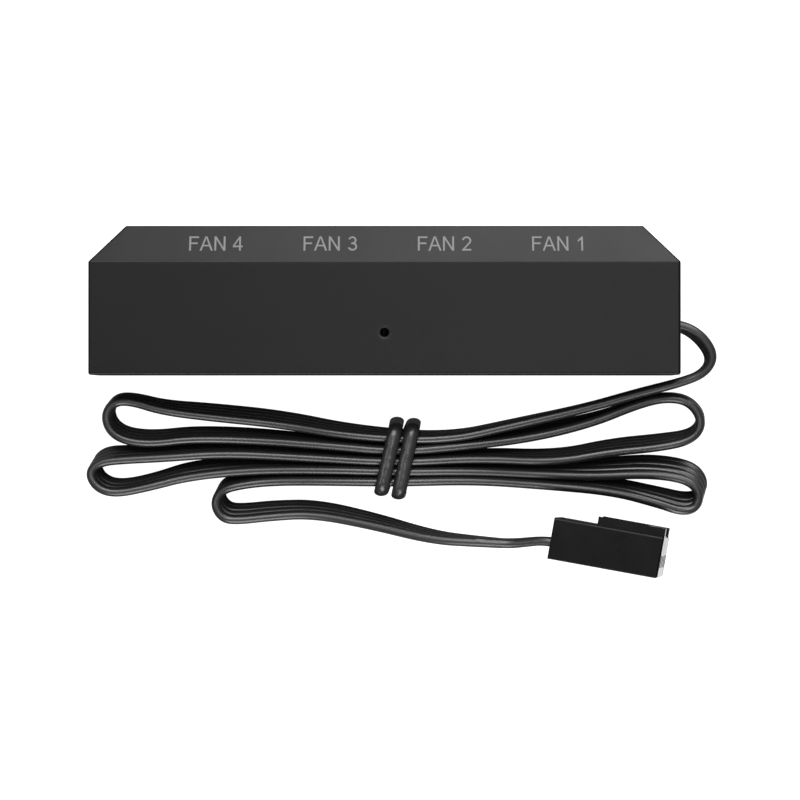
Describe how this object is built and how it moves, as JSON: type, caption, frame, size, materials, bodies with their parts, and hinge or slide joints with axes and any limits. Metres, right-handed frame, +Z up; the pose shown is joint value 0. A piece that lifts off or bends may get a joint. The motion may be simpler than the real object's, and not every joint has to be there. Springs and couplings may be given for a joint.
{
  "type": "pc fan controller hub",
  "caption": "Bevelled black fan hub with a row of recessed fan sockets at the rear, an indicator hole and a tied ribbon lead ending in a fan plug.",
  "frame": {"origin": "middle of the hub's underside", "axes": "+X along the hub towards the cable, +Y towards the fan sockets, +Z up out of the top face"},
  "size_m": [0.0731, 0.0408, 0.014],
  "materials": {
    "shell_plastic": "fine moulded texture, satin black",
    "header_nylon": "natural nylon",
    "pin_plating": "bright tin plating",
    "board_laminate": "green solder resist on glass laminate",
    "chip_ceramic": "glazed ceramic chip",
    "led_resin": "clear resin",
    "screw_steel": "black zinc plating",
    "wire_tin": "tinned copper strands",
    "cable_pvc": "satin black insulation",
    "tie_pvc": "glossy black coating on soft wire",
    "plug_nylon": "satin black nylon",
    "contact_tin": "tin-plated brass strip"
  },
  "bodies": {
    "root": {"housing": "shell_plastic", "base_plate": "shell_plastic", "base_screws": "screw_steel", "circuit_board": "board_laminate", "fan_header_1": "header_nylon", "fan_header_2": "header_nylon", "fan_header_3": "header_nylon", "fan_header_4": "header_nylon", "header_pins_1": "pin_plating", "header_pins_2": "pin_plating", "header_pins_3": "pin_plating", "header_pins_4": "pin_plating", "status_led": "led_resin", "led_resistor": "chip_ceramic", "board_wires": "wire_tin", "cable_inlet": "cable_pvc", "cable_lead": "cable_pvc", "cable_hank": "cable_pvc", "cable_tail": "cable_pvc", "plug_wires": "cable_pvc", "twist_tie": "tie_pvc", "plug_housing": "plug_nylon", "plug_contacts": "contact_tin"}
  },
  "joints": []
}
